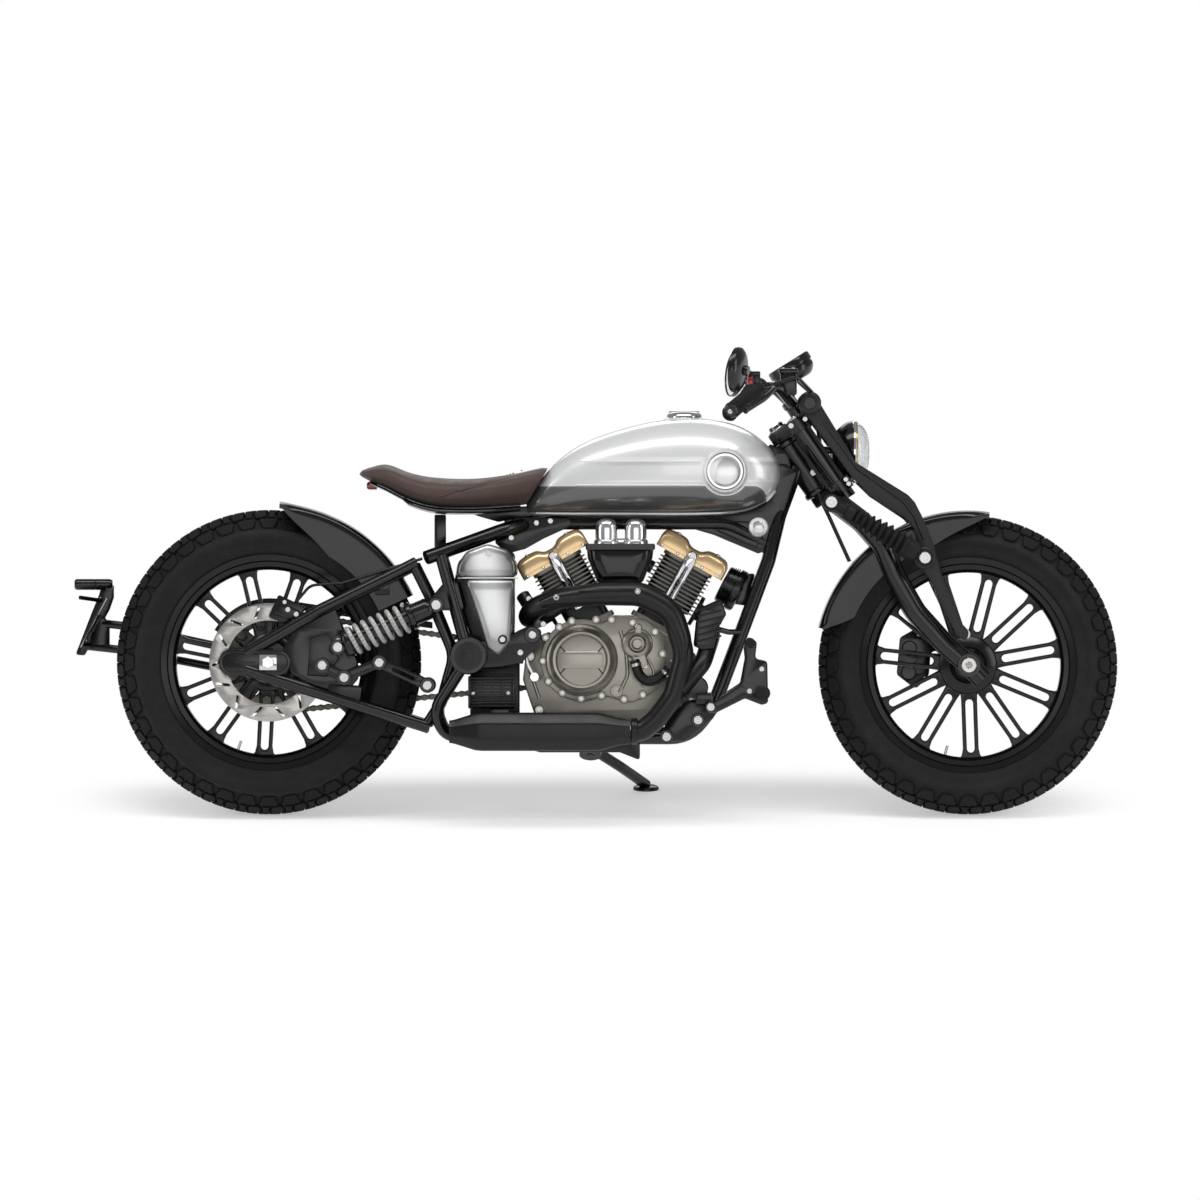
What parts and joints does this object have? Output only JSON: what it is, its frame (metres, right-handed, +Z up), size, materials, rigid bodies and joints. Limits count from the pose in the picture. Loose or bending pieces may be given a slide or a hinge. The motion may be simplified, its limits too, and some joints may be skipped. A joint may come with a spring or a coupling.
{
  "type": "bobber motorcycle",
  "caption": "Low single-seat motorcycle with a finned V engine, slotted-spoke wheels and a girder front end, leaning on its side stand.",
  "frame": {"origin": "middle of the bounding box on the floor, under the leaning motorcycle", "axes": "+X is the way it rides, +Y its left, where the stand is, +Z up; the body leans 10 degrees to +Y"},
  "size_m": [2.2425, 0.9458, 1.0603],
  "materials": {
    "black": "satin black",
    "gloss": "gloss black",
    "rubber": "black rubber",
    "tyre": "road tyre rubber",
    "silver": "silver-white metallic paint",
    "leather": "brown leather",
    "gold": "gold metallic paint",
    "alloy": "warm grey cast",
    "chrome": "bright",
    "steel": "brushed",
    "spring": "pale grey",
    "glass": "clear lamp front and black shell"
  },
  "bodies": {
    "chassis": {"frame": "black", "swingarm": "black", "fuel_tank": "silver", "fuel_cap": "chrome", "seat": "leather", "seat_pan": "black", "rear_fender": "black", "rear_caliper": "black", "rear_axle": "chrome", "drive_chain": "steel", "chain_guard": "black", "plate_holder": "black", "crankcase": "alloy", "engine_cover_right": "alloy", "engine_cover_left": "alloy", "cylinder_front": "alloy", "cylinder_rear": "alloy", "rocker_cover_front": "gold", "rocker_cover_rear": "gold", "pushrod_tubes_front": "chrome", "pushrod_tubes_rear": "chrome", "intake_cover": "gloss", "carburettors": "chrome", "exhaust_header": "black", "muffler": "black", "oil_cooler": "black", "regulator": "black", "electrics_box": "gloss", "side_cover_right": "silver", "side_cover_left": "silver", "foot_control_right": "black", "foot_control_left": "black", "rear_shock_right": "spring", "rear_shock_left": "spring"},
    "fork": {"fork_yokes": "black", "wheel_fork": "black", "front_axle": "steel", "front_fender": "black", "front_caliper": "black", "handlebar": "black", "headlamp": "glass", "gauge": "black", "girder_right": "black", "front_shock_right": "rubber", "grip_right": "rubber", "mirror_right": "black", "girder_left": "black", "front_shock_left": "rubber", "grip_left": "rubber", "mirror_left": "black"},
    "front_wheel": {"front_tyre": "tyre", "front_cast_wheel": "black"},
    "rear_wheel": {"rear_tyre": "tyre", "rear_cast_wheel": "black", "rear_disc": "steel", "rear_sprocket": "steel"},
    "side_stand": {"side_stand": "black"}
  },
  "joints": [
    {"name": "steering", "type": "hinge", "parent": "chassis", "child": "fork", "pos_m": [0.4057, -0.02482, 0.79499], "axis": [-0.5592, 0.144, 0.8164], "range_deg": [-30, 30]},
    {"name": "front_wheel_spin", "type": "hinge", "parent": "fork", "child": "front_wheel", "pos_m": [0.8003, -0.10906, 0.31726], "axis": [0, 0.9848, -0.1736], "continuous": true},
    {"name": "rear_wheel_spin", "type": "hinge", "parent": "chassis", "child": "rear_wheel", "pos_m": [-0.6997, -0.10802, 0.32317], "axis": [0, 0.9848, -0.1736], "continuous": true},
    {"name": "side_stand_fold", "type": "hinge", "parent": "chassis", "child": "side_stand", "pos_m": [-0.0097, -0.00818, 0.11771], "axis": [0.0318, 0.6182, 0.7854], "range_deg": [0, 105]}
  ]
}
